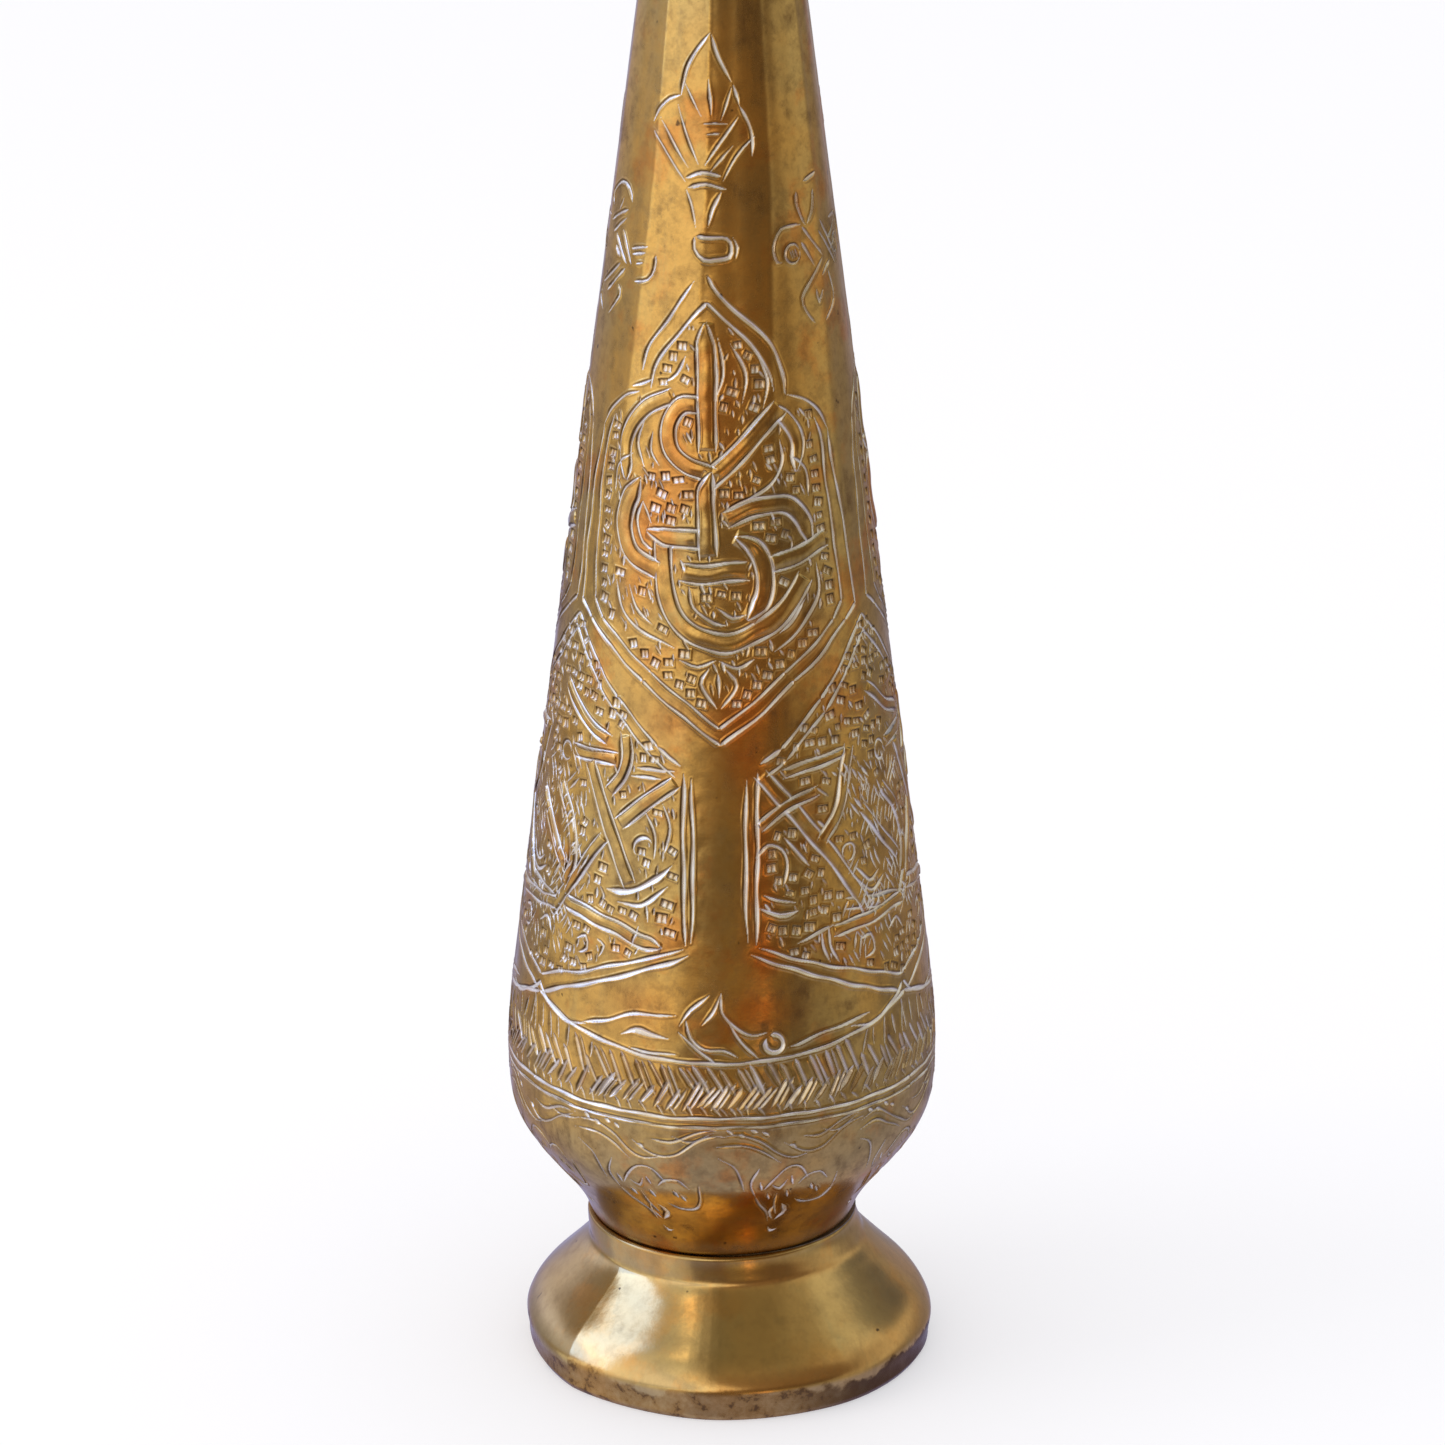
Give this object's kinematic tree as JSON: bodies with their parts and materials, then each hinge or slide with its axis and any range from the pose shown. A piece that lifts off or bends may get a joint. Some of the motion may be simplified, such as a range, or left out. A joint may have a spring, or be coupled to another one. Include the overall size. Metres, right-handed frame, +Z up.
{
  "type": "engraved brass vase",
  "caption": "Tall tapered vase in chased sheet brass, with ogee medallions, a herringbone band, a narrow waist and a flared hollow foot.",
  "frame": {"origin": "on the surface that the vase stands on, under the axis of its body", "axes": "+Z up along the body's axis, from the foot to the mouth; the front medallion faces -Y"},
  "size_m": [0.0634, 0.0634, 0.25],
  "materials": {
    "engraved_brass": "polished, engraved and darkened with age",
    "plain_brass": "polished, tarnished at the edges",
    "solder": "dull",
    "wire": "drawn"
  },
  "bodies": {
    "root": {"neck_cone": "engraved_brass", "belly_cup": "engraved_brass", "belly_solder": "solder", "foot": "plain_brass", "foot_solder": "solder", "neck_ring": "plain_brass", "neck_solder": "solder", "mouth_flare": "plain_brass", "rim_wire": "wire"}
  },
  "joints": []
}
